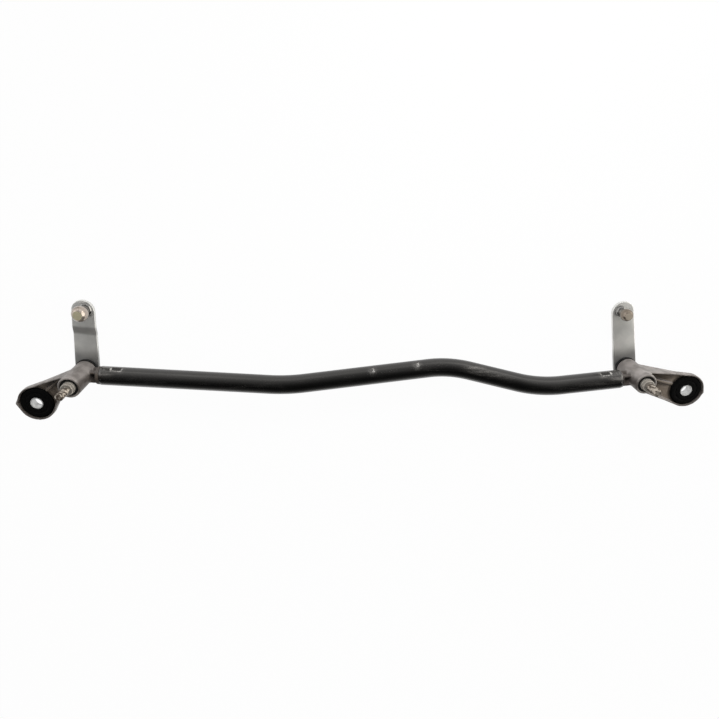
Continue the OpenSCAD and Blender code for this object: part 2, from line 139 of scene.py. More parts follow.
# one axis of a vector: 0, 1 or 2
def axisOf(wire, vector, axis):
    return wire.node("ShaderNodeSeparateXYZ", None, {0: vector}, axis)


# how far the surface faces up
def facingUp(wire):
    return axisOf(wire, wire.node("ShaderNodeNewGeometry", output="Normal"), 2)


# height of the surface in the piece's own frame, in metres
def heightOf(wire):
    return axisOf(wire, wire.node("ShaderNodeTexCoord", output="Object"), 2)


def bump(wire, height, strength, depth, edge=None):
    inputs = {"Strength": strength, "Distance": depth * mm, "Height": height}
    if edge:
        inputs["Normal"] = wire.node("ShaderNodeBevel", {"samples": 6}, {"Radius": edge * mm})
    return wire.node("ShaderNodeBump", None, inputs)


def coat(finish, values):
    shader = finish.node_tree.nodes["Principled BSDF"]
    Wire(finish.node_tree).feed(shader, values)
    return finish


# black satin paint, faintly streaked along the tube, dusty round the wear attribute and bare where it peaks;
# that attribute also carries a painted highlight on each dent, and the crimps carry painted shade
tubeLook = {
    "paint": (0.002, 0.002, 0.002), "dust": (0.20, 0.19, 0.178), "bare": (0.42, 0.41, 0.39),
    "soil": (0.003, 0.003, 0.003), "gloss": (1.0, 0.97, 0.93), "shine": 0.85,
    "rough": 0.16, "roughSpread": 0.08, "streakRough": 0.08, "bareRough": 0.1, "soilAndShadeRough": 0.4,
    "bareMetal": 0.6, "bareFrom": (1.12, 1.5), "speckScale": 1300, "speckDust": 0.3,
    "streakScale": 300, "streakStretch": (0.07, 1.0, 1.0), "streakDust": 0.025,
    "cloudScale": 60, "grainScale": 700, "pittedScale": 420,
}


def tubePaint(look):
    finish, wire = newFinish("tubePaint")
    cloud = noise(wire, look["cloudScale"], 5.0)
    streaks = noise(wire, look["streakScale"], 4.0, look["streakStretch"]).step(0.48, 0.72)
    specks = noise(wire, look["speckScale"], 2.0).step(0.66, 0.74)
    grain = noise(wire, look["grainScale"], 4.0)
    pitted = noise(wire, look["pittedScale"], 2.0)
    # the wear attribute also holds each dent's painted highlight, and the soil attribute holds the crimps'
    # painted shade
    rubbed = mark(wire, "wear")
    soiledAndShaded = mark(wire, "soil")
    bare = (rubbed * 1.5 + grain * 0.9).step(*look["bareFrom"])
    haze = specks * cloud.step(0.45, 0.7) * look["speckDust"]
    haze = haze + streaks * cloud.step(0.4, 0.7) * look["streakDust"]
    haze = haze + rubbed * (0.25 + streaks * 0.9) * grain.step(0.2, 0.6)
    dusty = mixColour(soiledAndShaded, mixColour(haze, look["paint"], look["dust"]), look["soil"])
    rough = look["rough"] + cloud * look["roughSpread"] + streaks * look["streakRough"]
    return coat(finish, {
        "Base Color": mixColour(bare, dusty, look["bare"]),
        "Metallic": bare * look["bareMetal"],
        "Roughness": rough - bare * look["bareRough"] + soiledAndShaded * look["soilAndShadeRough"],
        "Normal": bump(wire, pitted + specks * 0.8 + streaks * 0.5, 0.15, 0.12),
        "Specular IOR Level": look["shine"],
        "Specular Tint": rgba(look["gloss"]),
    })


# die-cast alloy: warm grey, mottled, browner on the trays' floors, with painted shade in corners, and dark
# where the soil and painted shade lie
castLook = {
    "light": (0.285, 0.262, 0.248), "dark": (0.165, 0.150, 0.140), "floor": (0.15, 0.12, 0.092),
    "shadeAndGrime": (0.030, 0.027, 0.024), "neck": (0.034, 0.026, 0.021), "cloudScale": 95, "grainScale": 1500,
    "floorTop": -0.0195, "floorBlend": 0.001, "floorFacing": (0.72, 0.95), "floorRough": 0.15, "floorDull": 0.3,
    "cornerReach": 6.0, "cornerShade": 0.55, "rough": 0.46, "grainRough": 0.16, "metal": 0.35,
}


def castAlloy(look):
    finish, wire = newFinish("castAlloy")
    cloud = noise(wire, look["cloudScale"], 5.0)
    grain = noise(wire, look["grainScale"], 3.0)
    deep = heightOf(wire).step(look["floorTop"] + look["floorBlend"], look["floorTop"])
    tray = facingUp(wire).step(*look["floorFacing"]) * deep
    # painted shade: darker where ambient occlusion finds corners
    openness = wire.node(
        "ShaderNodeAmbientOcclusion", {"samples": 8, "only_local": True},
        {"Distance": look["cornerReach"] * mm}, "AO",
    )
    skinTone = mixColour(cloud.step(0.35, 0.68), look["light"], look["dark"])
    soiledAndShaded = mixColour(tray * (0.70 + cloud * 0.4), skinTone, look["floor"])
    # towards the neck tone where the soil-and-shade attribute lies: dirt, and painted shade in the neck, round
    # the grommets and on the barrels
    soiledAndShaded = mixColour(mark(wire, "soil") * (0.75 + cloud * 0.4), soiledAndShaded, look["neck"])
    return coat(finish, {
        "Base Color": mixColour(openness.step(0.75, 0.15) * look["cornerShade"], soiledAndShaded, look["shadeAndGrime"]),
        "Metallic": look["metal"] - tray * look["floorDull"],
        "Roughness": look["rough"] + grain * look["grainRough"] + tray * look["floorRough"],
        "Normal": bump(wire, grain + cloud * 1.4, 0.35, 0.10),
    })


# plated sheet steel with a faint grain along the plate, with painted shade round the hub and in the joggle
zincLook = {
    "light": (0.72, 0.715, 0.69), "dark": (0.61, 0.61, 0.59), "shade": (0.17, 0.17, 0.168),
    "pit": (0.16, 0.155, 0.145), "pitScale": 1900, "pitShare": 0.5, "cloudScale": 70, "cloudRough": 0.08,
    "grainScale": 900, "grainStretch": (1.0, 0.16, 1.0), "grainRough": 0.14, "rough": 0.34, "metal": 0.78,
}


def zincPlate(look):
    finish, wire = newFinish("zincPlate")
    cloud = noise(wire, look["cloudScale"], 4.0)
    grain = noise(wire, look["grainScale"], 3.0, look["grainStretch"])
    pits = noise(wire, look["pitScale"], 2.0).step(0.70, 0.80)
    tone = mixColour(cloud.step(0.32, 0.7), look["light"], look["dark"])
    # painted shade near the hub and on the joggle
    tone = mixColour(mark(wire, "dirt") * (0.85 + cloud * 0.3), tone, look["shade"])
    return coat(finish, {
        "Base Color": mixColour(pits * look["pitShare"], tone, look["pit"]),
        "Metallic": look["metal"],
        "Roughness": look["rough"] + grain * look["grainRough"] + cloud * look["cloudRough"],
        "Normal": bump(wire, grain + pits * -0.6, 0.22, 0.06),
    })


# passivated zinc: olive or tan on the flat, a pinkish grey round the ball, polished on the collar
studLook = {
    "olive": (0.38, 0.35, 0.24), "tan": (0.29, 0.25, 0.20), "pink": (0.40, 0.345, 0.30),
    "brown": (0.17, 0.14, 0.11), "collar": (0.24, 0.235, 0.225), "driftScale": 190, "grainScale": 1500,
    "rough": 0.13, "grainRough": 0.10, "polishRough": 0.06, "flatRough": 0.35,
    "metal": 0.78, "polishMetal": 0.2, "flatMetal": 0.45, "flatFacing": (0.90, 0.97),
}


def passivatedZinc(look):
    finish, wire = newFinish("passivatedZinc")
    drift = noise(wire, look["driftScale"], 3.0)
    grain = noise(wire, look["grainScale"], 2.0)
    onFlat = facingUp(wire).step(*look["flatFacing"])
    ball = mixColour(drift.step(0.50, 0.72), look["pink"], look["brown"])
    polished = mark(wire, "polish")
    tanned = mark(wire, "tan")
    flat = mixColour(tanned, look["olive"], look["tan"])
    ball = mixColour(tanned * 0.85, ball, look["brown"])
    return coat(finish, {
        "Base Color": mixColour(polished, mixColour(onFlat, ball, flat), look["collar"]),
        "Metallic": look["metal"] + polished * look["polishMetal"] - onFlat * look["flatMetal"],
        "Roughness": look["rough"] + grain * look["grainRough"] - polished * look["polishRough"]
        + onFlat * look["flatRough"],
        "Normal": bump(wire, grain, 0.15, 0.04),
    })


# turned steel: beige film on the journal, golden and dirty in the teeth and the thread, with painted shade in
# and by the groove
spindleLook = {
    "journal": (0.50, 0.465, 0.415), "tip": (0.46, 0.41, 0.35), "shadeAndGrime": (0.034, 0.023, 0.015),
    "tipFrom": 0.0006, "driftScale": 330, "ringScale": 420, "ringStretch": (0.05, 0.05, 5.0),
    "grooveRun": (0.006, 0.002), "grooveShare": 0.14, "patchFrom": (0.44, 0.56), "patchShare": 0.95,
    "cutFrom": (0.15, 0.75), "cutShare": 0.6, "rough": 0.20, "ringRough": 0.16, "dirtRough": 0.25,
    "metal": 0.75, "dirtMetal": 0.4,
}


def turnedSteel(look):
    finish, wire = newFinish("turnedSteel")
    height = heightOf(wire)
    drift = noise(wire, look["driftScale"], 3.0)
    rings = noise(wire, look["ringScale"], 3.0, look["ringStretch"])
    onTip = height.step(0, look["tipFrom"])
    tone = mixColour(onTip, look["journal"], look["tip"])
    # painted shade: dark patches grow likelier close to the groove
    nearGroove = height.step(*look["grooveRun"]) * look["grooveShare"]
    patch = onTip * (drift + nearGroove).step(*look["patchFrom"]) * look["patchShare"]
    dirtyAndShaded = wire.maths("MAXIMUM", mark(wire, "cut").step(*look["cutFrom"]) * look["cutShare"], patch)
    return coat(finish, {
        "Base Color": mixColour(dirtyAndShaded, tone, look["shadeAndGrime"]),
        "Metallic": look["metal"] - dirtyAndShaded * look["dirtMetal"],
        "Roughness": look["rough"] + rings * look["ringRough"] + dirtyAndShaded * look["dirtRough"],
        "Normal": bump(wire, rings, 0.18, 0.05),
    })


# the plainer finishes share one recipe: two tones, one grain, one bump
plainLooks = {
    "grommetRubber": {"tones": ((0.0014, 0.0014, 0.0014), (0.0028, 0.0027, 0.0026)), "scale": 420,
                      "metal": 0.0, "rough": 0.62, "bump": 0.3, "edge": None, "gloss": 0.04},
    "sealRubber": {"tones": ((0.006, 0.006, 0.006), (0.012, 0.0117, 0.011)), "scale": 600,
                   "metal": 0.0, "rough": 0.62, "bump": 0.25, "edge": 0.3, "gloss": 0.08},
    "washerPlastic": {"tones": ((0.008, 0.008, 0.008), (0.014, 0.0138, 0.0135)), "scale": 500,
                      "metal": 0.0, "rough": 0.5, "bump": 0.2, "edge": 0.3, "gloss": 0.15},
    "sleeveSteel": {"tones": ((0.62, 0.62, 0.615), (0.47, 0.47, 0.46)), "scale": 260,
                    "metal": 0.7, "rough": 0.36, "bump": 0.12, "edge": 0.2, "gloss": 0.5},
    "bushBronze": {"tones": ((0.40, 0.27, 0.13), (0.27, 0.18, 0.085)), "scale": 800,
                   "metal": 0.9, "rough": 0.42, "bump": 0.2, "edge": 0.2, "gloss": 0.5},
    "ringSteel": {"tones": ((0.30, 0.29, 0.275), (0.19, 0.185, 0.175)), "scale": 700,
                  "metal": 0.9, "rough": 0.36, "bump": 0.15, "edge": 0.15, "gloss": 0.5},
}


def plainFinish(name, look):
    finish, wire = newFinish(name)
    cloud = noise(wire, look["scale"], 4.0)
    grain = noise(wire, look["scale"] * 4, 2.0)
    return coat(finish, {
        "Base Color": mixColour(cloud.step(0.35, 0.65), *look["tones"]),
        "Metallic": look["metal"],
        "Roughness": look["rough"] + grain * 0.14 - 0.07,
        "Normal": bump(wire, grain + cloud, look["bump"], 0.06, look["edge"]),
        "Specular IOR Level": look["gloss"],
    })


finishes = {name: plainFinish(name, look) for name, look in plainLooks.items()}
finishes["tubePaint"] = tubePaint(tubeLook)
finishes["castAlloy"] = castAlloy(castLook)
finishes["zincPlate"] = zincPlate(zincLook)
finishes["passivatedZinc"] = passivatedZinc(studLook)
finishes["turnedSteel"] = turnedSteel(spindleLook)
print("finishes:", len(finishes))

nodeFinish = {
    "frame_tube": "tubePaint", "pivot_housing": "castAlloy", "grommet": "grommetRubber",
    "mount_sleeve": "sleeveSteel", "front_bush": "bushBronze", "rear_bush": "bushBronze",
    "thrust_washer": "washerPlastic", "shaft_seal": "sealRubber", "spindle": "turnedSteel",
    "retaining_ring": "ringSteel", "crank": "zincPlate", "ball_stud": "passivatedZinc",
}
sides = ("left", "right")
for name, node in nodes.items():
    kind = name.removeprefix("left_").removeprefix("right_")
    node.data.materials.clear()
    node.data.materials.append(finishes[nodeFinish[kind]])

# where the pivots and the holes of the ears lie, in millimetres
pivotAt = {"left": (0.0, 0.0), "right": (592.0, 0.0)}
holeAt = {"left": (-41.777, -23.636), "right": (646.216, -14.021)}


# evenly spaced angles round a circle, without the repeated last one
def fullTurn(columns):
    return np.arange(columns) * 2 * np.pi / columns


# 0 below low, 1 above high, a cubic ease between them
def ease(value, low, high):
    share = np.clip((value - low) / (high - low), 0, 1)
    return share * share * (3 - 2 * share)


# 1 where the distance from the middle is under half, falling to 0 across a soft border
def softBox(distance, half, soft):
    return 1 - ease(np.abs(distance), half - soft / 2, half + soft / 2)


# each corner becomes a parabola between the two points that lie a radius from it along its sides
def roundedProfile(points, radius, closed=False, steps=5):
    points = np.asarray(points, float)
    if closed:
        points = np.vstack([points[-1:], points, points[:1]])
    corner = points[1:-1, None]
    toBefore = points[:-2, None] - corner
    toAfter = points[2:, None] - corner
    lenBefore = np.linalg.norm(toBefore, axis=2, keepdims=True)
    lenAfter = np.linalg.norm(toAfter, axis=2, keepdims=True)
    cut = np.minimum(radius, 0.45 * np.minimum(lenBefore, lenAfter))
    first = corner + toBefore / lenBefore * cut
    last = corner + toAfter / lenAfter * cut
    t = np.linspace(0, 1, steps)[None, :, None]
    curve = ((1 - t) ** 2 * first + 2 * t * (1 - t) * corner + t ** 2 * last).reshape(-1, 2)
    return curve if closed else np.vstack([points[:1], curve, points[-1:]])


# a profile of radius and height turned about z; the cut takes depth off the radius, per row and column
def latheRings(profile, columns, cut=0.0):
    turn = fullTurn(columns)
    radius = profile[:, :1] - cut + 0 * turn
    return np.stack([radius * np.cos(turn), radius * np.sin(turn), profile[:, 1:] + 0 * turn], axis=-1)


# rows of points round a piece become quads; merged doubles close the seam and the poles
def addPiece(name, rings, origin, body, node, marks=None, closedRows=False):
    rows, columns = rings.shape[:2]
    points = (rings.reshape(-1, 3) + np.asarray(origin)) * mm
    row = np.arange(rows if closedRows else rows - 1)[:, None]
    column = np.arange(columns)[None, :]
    below, beside = (row + 1) % rows, (column + 1) % columns
    quads = np.stack([
        row * columns + column, row * columns + beside, below * columns + beside, below * columns + column,
    ], axis=-1).reshape(-1, 4)
    mesh = bpy.data.meshes.new(name)
    mesh.from_pydata(points.tolist(), [], quads.tolist())
    for key, values in (marks or {}).items():
        layer = mesh.attributes.new(key, "FLOAT", "POINT")
        layer.data.foreach_set("value", np.broadcast_to(values, (rows, columns)).ravel().astype(np.float32))
    tidy = bmesh.new()
    tidy.from_mesh(mesh)
    bmesh.ops.remove_doubles(tidy, verts=tidy.verts, dist=1e-7)
    bmesh.ops.recalc_face_normals(tidy, faces=tidy.faces)
    tidy.to_mesh(mesh)
    tidy.free()
    return placePiece(name, mesh, body, node)


# smooth-shades a mesh, gives it its node's finish and slot, and lets it ride in the node's place
def placePiece(name, mesh, body, node):
    mesh.polygons.foreach_set("use_smooth", np.ones(len(mesh.polygons), bool))
    mesh.materials.clear()
    mesh.materials.append(nodes[node].data.materials[0])
    piece = bpy.data.objects.new(name, mesh)
    bpy.context.scene.collection.objects.link(piece)
    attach(piece, body)
    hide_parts(node)
    return piece


# bent tube: its centre line, a crimp at each end, two locating dents and a scuff after the second bend
tube = {
    "radius": 10.0, "wall": 1.5, "span": pivotAt["right"][0], "leftDepth": 39.0, "rightDepth": 25.0,
    "roll": 45.0, "endGap": 21.0,
    "bends": ((215.0, -11.4, 205.0), (388.0, 11.8, 115.0), (483.0, -12.7, 130.0)),
    "crimpInset": 17.0, "crimpLen": 9.5, "crimpWide": 4.0, "crimpDeep": 1.2, "crimpRoll": 28.0,
    "crimpShadeMargin": 0.5, "rub": 0.55, "rubMargin": (3.0, 2.0), "rubSoft": (5.0, 4.0), "rubShift": 0.5,
    "outerSpot": {"level": 0.85, "way": 1, "beyond": 0.9, "half": 1.1, "soft": 1.8},
    "innerSpot": {"level": 0.45, "way": -1, "beyond": 1.2, "half": 1.4, "soft": 2.0},
    "spotShift": 0.4, "spotHalf": 1.9, "spotSoft": 2.0,
    "dents": (306.0, 354.0), "dentReach": 4.6, "dentWide": 7.0, "dentDeep": 0.8, "dentRoll": 10.0,
    "dentHighlight": 0.55, "highlightShift": 1.0, "highlightHalf": 2.1, "highlightSoft": (2.6, 2.5),
    "halo": 0.32, "haloReach": (0.7, 1.6), "endRub": 0.42, "endReach": (5, 20), "endFacing": (0.2, 0.8),
    "scuff": 38.0, "scuffLen": 46.0, "scuffHalf": 3.6, "scuffSoft": (34.0, 6.0), "scuffRoll": -6.0,
    "scuffRub": 0.36, "soft": 1.0, "endBevel": 0.35, "columns": 128, "coarse": 3.0, "fine": 0.4,
    "fineReach": 8, "lineStep": 0.05,
}


# the heading is constant along the straights and linear in the bends; its running sum gives the centre line
def tubeLine(t):
    rise = t["leftDepth"] - t["rightDepth"]
    route = np.array([(0, 0), *[bend[:2] for bend in t["bends"]], (np.hypot(t["span"], rise), 0)])
    legs = np.diff(route, axis=0)
    legLen = np.linalg.norm(legs, axis=1)
    legTurn = np.arctan2(legs[:, 1], legs[:, 0])
    bendTurn = np.abs(np.diff(legTurn))
    bendRadius = np.array([bend[2] for bend in t["bends"]])
    setback = np.concatenate([[t["endGap"]], bendRadius * np.tan(bendTurn / 2), [t["endGap"]]])
    straight = legLen - setback[:-1] - setback[1:]
    lengths = np.zeros(2 * len(straight) - 1)
    lengths[0::2] = straight
    lengths[1::2] = bendRadius * bendTurn
    knots = np.concatenate([[0], np.cumsum(lengths)])
    heading = np.repeat(legTurn, 2)
    along = np.arange(0, knots[-1] + t["lineStep"], t["lineStep"])
    angle = np.interp(along, knots, heading)
    stepXY = np.stack([np.cos(angle), np.sin(angle)], axis=-1)
    first = route[0] + t["endGap"] * stepXY[0]
    line = first + np.vstack([[0, 0], np.cumsum((stepXY[1:] + stepXY[:-1]) / 2 * t["lineStep"], axis=0)])
    marks = [knots[2] + dent - t["bends"][0][0] - setback[1] for dent in t["dents"]]
    marks.append(knots[4] + t["scuff"] - setback[2])
    return along, line, angle, marks, np.arctan2(rise, t["span"])


# turn of the bends' plane: its roll about the tube, then the slope from spindle to spindle
def tubeTurn(t, slope):
    return np.array(Matrix.Rotation(-slope, 3, "Y") @ Matrix.Rotation(-np.radians(t["roll"]), 3, "X"))


# a soft-edged patch: a box in the distance along the tube times a box in the distance round it
def softPatch(along, around, half, soft):
    return softBox(along, half[0], soft[0])[:, None] * softBox(around, half[1], soft[1])


# rings of the tube: a circle whose radius drops to a flat inside each crimp and by a bowl in each dent
def tubeRings(t):
    along, line, angle, marks, slope = tubeLine(t)
    dentAt, scuffAt = marks[:2], marks[2]
    total = along[-1]
    crimpAt = (t["crimpInset"], total - t["crimpInset"])
    near = [np.arange(at - t["fineReach"], at + t["fineReach"], t["fine"]) for at in (*crimpAt, *dentAt)]
    ends = [0, t["endBevel"], total - t["endBevel"], total]
    s = np.unique(np.clip(np.concatenate([np.arange(0, total, t["coarse"]), *near, ends]), 0, total))
    toEnd = np.minimum(s, total - s)
    centre = np.stack([np.interp(s, along, line[:, 0]), np.interp(s, along, line[:, 1]), 0 * s], axis=-1)
    heading = np.interp(s, along, angle)
    across = np.stack([-np.sin(heading), np.cos(heading), 0 * s], axis=-1)
    upward = np.array([0, 0, 1.0]) + 0 * across
    turn = fullTurn(t["columns"])
    pressed, wear, soil = np.zeros((3, len(s), t["columns"]))

    # distances out from the axis and round the tube, from a line at the given roll
    def rolled(roll):
        swing = turn - np.radians(roll)
        return t["radius"] * np.cos(swing), t["radius"] * np.sin(swing)

    # each crimp is pressed down to a flat, with painted shade inside, bare at its two ends and rubbed all round
    out, side = rolled(t["crimpRoll"])
    half = np.array([t["crimpLen"], t["crimpWide"]]) / 2
    soft = (t["soft"], t["soft"])
    flatRadius = (t["radius"] - t["crimpDeep"]) / np.clip(np.abs(out) / t["radius"], 0.2, 1)
    for at in crimpAt:
        onTab = softPatch(s - at, side, half, soft)
        bare = 0
        for spot in (t["outerSpot"], t["innerSpot"]):
            middle = at + spot["way"] * np.sign(at - total / 2) * (half[0] + spot["beyond"])
            bare = bare + spot["level"] * softPatch(
                s - middle, side + t["spotShift"], (spot["half"], t["spotHalf"]), (spot["soft"], t["spotSoft"]))
        rubbed = softPatch(s - at, side + t["rubShift"], half + t["rubMargin"], t["rubSoft"])
        pressed += onTab * np.clip(t["radius"] - flatRadius, 0, None)
        wear = np.maximum(wear, np.maximum(bare, t["rub"] * rubbed * (1 - onTab)) * (out > 0))
        # painted shade inside each crimp
        soil = np.maximum(soil, softPatch(s - at, side, half + t["crimpShadeMargin"], soft))
    nearEnd = (1 - ease(toEnd, *t["endReach"]))[:, None] * ease(out / t["radius"], *t["endFacing"])
    wear = np.maximum(wear, t["endRub"] * nearEnd)

    # each dent is a round bowl with a painted highlight stripe across it and a fainter rubbed border
    out, side = rolled(t["dentRoll"])
    for at in dentAt:
        offset = np.hypot((s - at)[:, None], side) / t["dentReach"] + 2 * (out < 0)
        # painted highlight: a bright stripe set off each dent's middle
        highlightHalf = (t["highlightHalf"], t["dentWide"] / 2)
        dentHighlight = softPatch(s - at - t["highlightShift"], side, highlightHalf, t["highlightSoft"])
        halo = t["halo"] * (1 - ease(offset, *t["haloReach"]))
        pressed += t["dentDeep"] * np.clip(1 - offset ** 2, 0, None) ** 2
        wear = np.maximum(wear, np.maximum(t["dentHighlight"] * dentHighlight * (out > 0), halo))

    # the scuff lies on the front half alone
    side = rolled(t["scuffRoll"])[1] + 3 * t["radius"] * (np.cos(turn) < 0)
    scuff = softPatch(s - scuffAt, side, (t["scuffLen"] / 2, t["scuffHalf"]), t["scuffSoft"])
    wear = np.maximum(wear, t["scuffRub"] * scuff)

    # points at a radius from the centre line
    def ringsAt(radius):
        out, side = radius * np.cos(turn), radius * np.sin(turn)
        return centre[:, None] + out[..., None] * upward[:, None] + side[..., None] * across[:, None]

    outer = ringsAt((t["radius"] - t["endBevel"] + np.minimum(toEnd, t["endBevel"]))[:, None] - pressed)
    inner = ringsAt(np.full((len(s), 1), t["radius"] - t["wall"]))
    rings = np.concatenate([outer, inner[::-1]]) @ tubeTurn(t, slope).T
    return rings, np.concatenate([wear, 0 * wear]), np.concatenate([soil, 0 * soil])


rings, wear, soil = tubeRings(tube)
addPiece("bentTube", rings, (0, 0, -tube["leftDepth"]), "frame", "frame_tube",
         {"wear": wear, "soil": soil}, True)
print("tube done")

# cast housings: copies of the solids on an even grid, relaxed so that every edge is rounded as on a casting
casting = {
    "weld": 1e-6, "voxel": 0.5, "passes": 7, "strength": 0.5,
    "neckDarkFrom": (9.0, 12.5), "neckDarkDepth": (6.3, 8.0), "neckDarkTop": 0.85,
    "rimShadeReach": (17.9, 19.3), "rimShade": 0.8, "rimBack": -23.0,
    "trayHalf": 12.0, "trayEdge": 3.0, "trayFrom": (12.0, 18.0), "trayTop": -15.0,
    "rearShadeReach": (13.0, 17.0), "rearShadeRun": (-45.0, -15.0),
    "left": {"tray": 0.52, "rearShade": (0.15, 0.28)}, "right": {"tray": 0.0, "rearShade": (0.0, 0.20)},
}


# a mesh's vertices as rows of three, in millimetres
def meshPoints(mesh):
    points = np.empty(3 * len(mesh.vertices))
    mesh.vertices.foreach_get("co", points)
    return points.reshape(-1, 3) / mm


# dirt and painted shade in the neck: it sets in with the distance from the spindle towards the tube and thins
# out from its axis
def neckSoilAndShade(points, side, c, t):
    _, line, angle, _, slope = tubeLine(t)
    end = 0 if side == "left" else -1
    turned = tubeTurn(t, slope)
    first = turned @ np.array([*line[end], 0]) - np.array([0, 0, t["leftDepth"]])
    heading = turned @ np.array([np.cos(angle[end]), np.sin(angle[end]), 0])
    offset = points - first
    reach = offset @ heading * (1 if side == "left" else -1) + t["endGap"]
    depth = np.linalg.norm(np.cross(offset, heading), axis=1)
    return ease(reach, *c["neckDarkFrom"]) * (1 - (1 - c["neckDarkTop"]) * ease(depth, *c["neckDarkDepth"]))


# in the ear, painted shade in a ring round the grommet, by the distance from the hole, and a darker strip along
# the tray's middle;
# on the barrel a painted shade that thickens from its front to its rear
def earSoilAndShade(points, side, c):
    hole, pivot = np.array(holeAt[side]), np.array(pivotAt[side])
    height = points[:, 2]
    # painted shade on the tray's walls round the grommet
    ring = 1 - ease(np.linalg.norm(points[:, :2] - hole, axis=1), *c["rimShadeReach"])
    heading = (hole - pivot) / np.linalg.norm(hole - pivot)
    offset = points[:, :2] - pivot
    across = offset @ np.array([-heading[1], heading[0]])
    strip = softBox(across, c["trayHalf"], c["trayEdge"]) * ease(offset @ heading, *c["trayFrom"])
    strip = c[side]["tray"] * strip * (height < c["trayTop"])
    # painted shade on the barrel, heavier towards its rear
    front, rear = c[side]["rearShade"]
    rearShade = rear + (front - rear) * ease(height, *c["rearShadeRun"])
    rearShade = rearShade * (1 - ease(np.linalg.norm(offset, axis=1), *c["rearShadeReach"]))
    return np.maximum(np.maximum(c["rimShade"] * ring, strip) * (height > c["rimBack"]), rearShade)


# a copy of the node, remeshed on cubes and smoothed, with its dirt and painted shade at each vertex
def softened(name, node, body, side, c):
    mesh = nodes[node].data.copy()
    tidy = bmesh.new()
    tidy.from_mesh(mesh)
    bmesh.ops.remove_doubles(tidy, verts=tidy.verts, dist=c["weld"])
    tidy.to_mesh(mesh)
    tidy.free()
    blank = bpy.data.objects.new(name + ".blank", mesh)
    bpy.context.scene.collection.objects.link(blank)
    grid = blank.modifiers.new("grid", "REMESH")
    grid.mode = "VOXEL"
    grid.voxel_size = c["voxel"] * mm
    relax = blank.modifiers.new("relax", "SMOOTH")
    relax.iterations = c["passes"]
    relax.factor = c["strength"]
    relaxed = blank.evaluated_get(bpy.context.evaluated_depsgraph_get())
    final = bpy.data.meshes.new_from_object(relaxed)
    final.name = name
    points = meshPoints(final)
    soil = np.maximum(neckSoilAndShade(points, side, c, tube), earSoilAndShade(points, side, c))
    layer = final.attributes.new("soil", "FLOAT", "POINT")
    layer.data.foreach_set("value", soil.astype(np.float32))
    bpy.data.objects.remove(blank)
    return placePiece(name, final, body, node)


for side in sides:
    piece = softened(side + "Housing", side + "_pivot_housing", "frame", side, casting)
    print("housing done:", piece.name, len(piece.data.polygons), "faces")

# rubber grommet: outline of half a section, in radius and height
grommet = {
    "outline": ((6.32, -28), (15, -28), (16, -27), (16, -25), (12.5, -25), (12.5, -22), (16.8, -22),
                (16.8, -20.2), (15.6, -19), (12.2, -19), (11.8, -19.4), (11.0, -19.4), (10.6, -19),
                (6.32, -19)),
    "round": 0.7, "columns": 96,
}
profile = roundedProfile(grommet["outline"], grommet["round"], True)
for side in sides:
    addPiece(side + "Grommet", latheRings(profile, grommet["columns"]), (*holeAt[side], 0), "frame",
             side + "_grommet", None, True)
print("grommets done")

# spindle: lathe outline from the tail to the tip, with straight teeth on the cone and a thread on the tip
spindle = {
    "outline": ((0, -56.5), (5, -56.5), (5, -52.5), (6.5, -52.5), (6.5, -11), (5.9, -11), (5.9, -10),
                (6.5, -10), (6.5, -4.5), (6.1, 0), (3.2, 0), (3.2, 2), (4, 2), (4, 16), (3, 17), (0, 17)),
    "round": 0.3, "columns": 240, "fine": 0.2, "fineFrom": -5.6,
    "teeth": 40, "toothDepth": 0.35, "toothDirt": 0.6, "cone": (-4.5, 0.1), "coneEase": 0.6,
    "coneRadius": (5.2, 5.9), "pitch": 1.25, "threadDepth": 0.6, "thread": (2.2, 16.2),
    "threadEase": (0.7, 0.8), "grooveRadius": 3.6,
}


# the radius is cut by a triangle wave round the cone and by a helical one along the thread
def spindleRings(s):
    profile = roundedProfile(s["outline"], s["round"])
    run = np.concatenate([[0], np.cumsum(np.linalg.norm(np.diff(profile, axis=0), axis=1))])
    fineFrom = run[np.argmax(profile[:, 1] > s["fineFrom"])]
    dense = np.union1d(run, np.arange(fineFrom, run[-1], s["fine"]))
    profile = np.stack([np.interp(dense, run, profile[:, 0]), np.interp(dense, run, profile[:, 1])], axis=-1)
    turn = fullTurn(s["columns"])[None, :]
    radius, height = profile[:, :1], profile[:, 1:]
    tooth = np.abs(2 * ((turn * s["teeth"] / (2 * np.pi)) % 1) - 1)
    helix = np.abs(2 * ((height / s["pitch"] - turn / (2 * np.pi)) % 1) - 1)
    coneFrom, coneTo = s["cone"]
    threadFrom, threadTo = s["thread"]
    runIn, runOut = s["threadEase"]
    onCone = ease(height, coneFrom, coneFrom + s["coneEase"]) * (height < coneTo)
    onCone = onCone * ease(radius, *s["coneRadius"])
    onThread = ease(height, threadFrom, threadFrom + runIn) * (1 - ease(height, threadTo - runOut, threadTo))
    cut = onCone * tooth * s["toothDepth"] + onThread * helix * s["threadDepth"]
    # painted shade fills the groove between the cone and the thread
    groove = (radius < s["grooveRadius"]) * (height > coneTo) * (height < threadFrom)
    dirt = np.maximum(onCone * tooth * s["toothDirt"], np.maximum(onThread * helix, groove))
    return latheRings(profile, s["columns"], cut), dirt


rings, cut = spindleRings(spindle)
for side in sides:
    addPiece(side + "Spindle", rings, (*pivotAt[side], 0), side + "_shaft", side + "_spindle", {"cut": cut})
print("spindles done")

# crank plate: a strap round the hub and the stud's end, with rounded edges and, on the left, a joggle
crank = {
    "hub": 12.3, "end": 11.5, "endAt": 66.0, "thick": 4.0, "edge": 0.8, "base": -56.5,
    "joggleAt": 40.0, "joggleRun": 9.0, "joggleEdge": 3.0, "joggleShade": 0.45,
    "hubShade": 0.75, "hubReach": (13.0, 29.0), "arcPoints": 40, "edgePoints": 90,
    "left": {"heading": 84.0, "rise": 2.0}, "right": {"heading": 103.0, "rise": 0.0},
}


